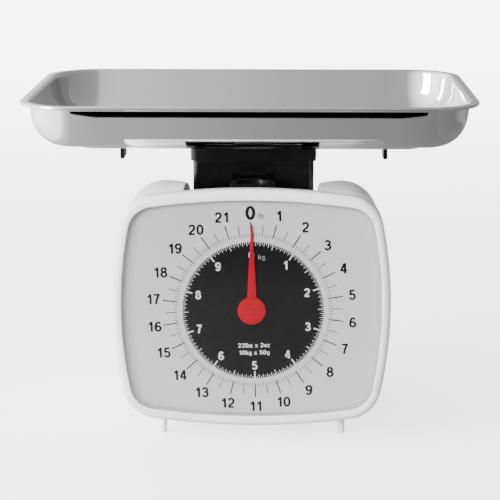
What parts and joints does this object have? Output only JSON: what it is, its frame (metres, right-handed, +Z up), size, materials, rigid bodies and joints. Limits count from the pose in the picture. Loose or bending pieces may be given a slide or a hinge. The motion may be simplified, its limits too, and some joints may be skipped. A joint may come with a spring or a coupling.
{
  "type": "mechanical dial platform scale",
  "caption": "Spring kitchen and counter scale with a stainless tray on a sliding column and a square dial turned by a rack.",
  "frame": {"origin": "on the floor under the middle of the tray", "axes": "+X to the user's right along the tray's long side, +Y away from the dial, +Z up"},
  "size_m": [0.28, 0.184, 0.213],
  "materials": {
    "polished_steel": "mirror-polished stainless sheet",
    "black_gloss": "gloss black moulding",
    "black_matte": "satin black moulding",
    "housing_white": "white moulded plastic, low gloss",
    "bezel_white": "pale moulded plastic",
    "dial_white": "pale dial with printed scales",
    "clear_lens": "clear flat window",
    "needle_red": "red pointer",
    "plated_steel": "zinc-plated pressed sheet",
    "bright_steel": "ground rod",
    "spring_steel": "drawn spring wire and strip",
    "screw_steel": "plated fasteners",
    "gear_brass": "machined brass",
    "yoke_plastic": "natural nylon",
    "rubber": "soft black rubber"
  },
  "bodies": {
    "stand": {"housing": "housing_white", "front_bezel": "bezel_white", "lens": "clear_lens", "dial_plate": "dial_white", "front_left_foot": "housing_white", "front_right_foot": "housing_white", "rear_left_foot": "housing_white", "rear_right_foot": "housing_white", "mechanism_frame": "plated_steel", "frame_screws": "screw_steel", "front_bush": "gear_brass", "rear_bush": "gear_brass", "movement_bridge": "plated_steel", "bridge_pillars": "bright_steel", "bridge_screws": "screw_steel", "upper_lever_shaft": "bright_steel", "lower_lever_shaft": "bright_steel", "shaft_clips": "spring_steel", "knob_bracket": "plated_steel", "bracket_screws": "screw_steel", "overload_stop": "rubber"},
    "carriage": {"load_column": "black_gloss", "tray_carrier": "black_matte", "carrier_screws": "screw_steel", "column_screws": "screw_steel", "carriage_frame": "plated_steel", "upper_carriage_pin": "bright_steel", "lower_carriage_pin": "bright_steel", "rack_arm": "plated_steel", "arm_rivets": "screw_steel", "rack": "gear_brass", "rack_pin": "bright_steel", "rack_spring": "spring_steel", "left_spring": "spring_steel", "right_spring": "spring_steel"},
    "loose_tray": {"tray": "polished_steel"},
    "needle": {"pointer": "needle_red", "pointer_cap": "needle_red", "pointer_arbor": "bright_steel", "pinion": "gear_brass"},
    "upper_link": {"upper_lever": "plated_steel"},
    "lower_link": {"lower_lever": "plated_steel"},
    "adjuster": {"zero_knob": "black_matte", "zero_screw": "bright_steel", "screw_clip": "spring_steel"},
    "yoke": {"spring_yoke": "yoke_plastic"}
  },
  "joints": [
    {"name": "load_slide", "type": "slide", "parent": "stand", "child": "carriage", "axis": [0, 0, 1], "range_m": [-0.0126, 0], "stiffness_N_per_m": 7800, "springref_m": 0.0013, "deforming": ["left_spring", "right_spring"]},
    {"name": "pointer_turn", "type": "hinge", "parent": "stand", "child": "needle", "pos_m": [0.0018, -0.05, 0.084], "axis": [0, 1, 0], "range_deg": [0, 365]},
    {"name": "upper_lever_hinge", "type": "hinge", "parent": "stand", "child": "upper_link", "pos_m": [0.0018, 0.046, 0.09772], "axis": [1, 0, 0], "range_deg": [0, 16]},
    {"name": "lower_lever_hinge", "type": "hinge", "parent": "stand", "child": "lower_link", "pos_m": [0.0018, 0.046, 0.04372], "axis": [1, 0, 0], "range_deg": [0, 16]},
    {"name": "knob_turn", "type": "hinge", "parent": "stand", "child": "adjuster", "pos_m": [0.0018, -0.04, 0.15], "axis": [0, 0, 1], "range_deg": [-300, 300]},
    {"name": "yoke_slide", "type": "slide", "parent": "stand", "child": "yoke", "axis": [0, 0, 1], "range_m": [-0.0007, 0.0007]},
    {"name": "tray_lift", "type": "slide", "parent": "carriage", "child": "loose_tray", "axis": [0, 0, 1], "range_m": [0, 0.06]}
  ],
  "couplings": [
    {"joint": "pointer_turn", "follows": "load_slide", "rad_per_m": -500},
    {"joint": "upper_lever_hinge", "follows": "load_slide", "rad_per_m": -21.61},
    {"joint": "lower_lever_hinge", "follows": "load_slide", "rad_per_m": -21.61},
    {"joint": "yoke_slide", "follows": "knob_turn", "m_per_rad": 0.0001273}
  ]
}
